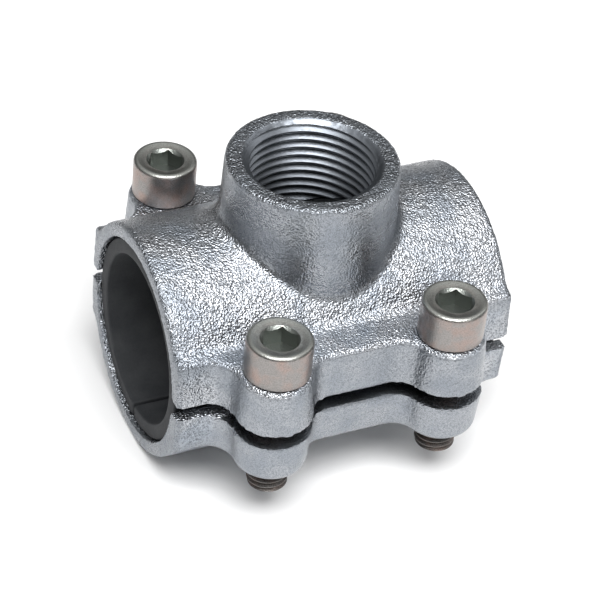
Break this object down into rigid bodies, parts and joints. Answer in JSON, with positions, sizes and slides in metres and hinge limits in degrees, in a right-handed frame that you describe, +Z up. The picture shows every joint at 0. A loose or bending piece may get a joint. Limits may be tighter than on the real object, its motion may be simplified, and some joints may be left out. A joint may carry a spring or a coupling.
{
  "type": "mechanical tee",
  "caption": "Clamp-on pipe tee: a cast upper half with a threaded branch and a plain lower half, rubber-lined, drawn together round a pipe by socket head screws.",
  "frame": {"origin": "on the axis of the pipe that the tee clamps, under the centre of the branch", "axes": "+X along the pipe, +Z up the branch and out of its mouth, +Y across; -Y is the side nearest the viewer in the picture"},
  "size_m": [0.088, 0.0926, 0.0744],
  "materials": {
    "galvanised_iron": "hot-dip galvanised, bright and pebbled",
    "rubber": "matt black moulded rubber",
    "plated_steel": "zinc plated, satin"
  },
  "bodies": {
    "upper_half": {"upper_body": "galvanised_iron", "rubber_sleeve": "rubber"},
    "lower_half": {"lower_body": "galvanised_iron"},
    "screw_front_left": {"screw_front_left": "plated_steel"},
    "screw_front_right": {"screw_front_right": "plated_steel"},
    "screw_rear_left": {"screw_rear_left": "plated_steel"},
    "screw_rear_right": {"screw_rear_right": "plated_steel"}
  },
  "joints": [
    {"name": "lower_half_slide", "type": "slide", "parent": "upper_half", "child": "lower_half", "axis": [0, 0, -1], "range_m": [0, 0.0135]},
    {"name": "screw_front_left_turn", "type": "hinge", "parent": "upper_half", "child": "screw_front_left", "pos_m": [-0.0225, -0.0365, 0.0145], "axis": [0, 0, 1], "range_deg": [0, 3240]},
    {"name": "screw_front_right_turn", "type": "hinge", "parent": "upper_half", "child": "screw_front_right", "pos_m": [0.0225, -0.0365, 0.0145], "axis": [0, 0, 1], "range_deg": [0, 3240]},
    {"name": "screw_rear_left_turn", "type": "hinge", "parent": "upper_half", "child": "screw_rear_left", "pos_m": [-0.0225, 0.0365, 0.0145], "axis": [0, 0, 1], "range_deg": [0, 3240]},
    {"name": "screw_rear_right_turn", "type": "hinge", "parent": "upper_half", "child": "screw_rear_right", "pos_m": [0.0225, 0.0365, 0.0145], "axis": [0, 0, 1], "range_deg": [0, 3240]}
  ],
  "couplings": [
    {"joint": "screw_front_left_turn", "follows": "lower_half_slide", "rad_per_m": 4188.8},
    {"joint": "screw_front_right_turn", "follows": "lower_half_slide", "rad_per_m": 4188.8},
    {"joint": "screw_rear_left_turn", "follows": "lower_half_slide", "rad_per_m": 4188.8},
    {"joint": "screw_rear_right_turn", "follows": "lower_half_slide", "rad_per_m": 4188.8}
  ]
}
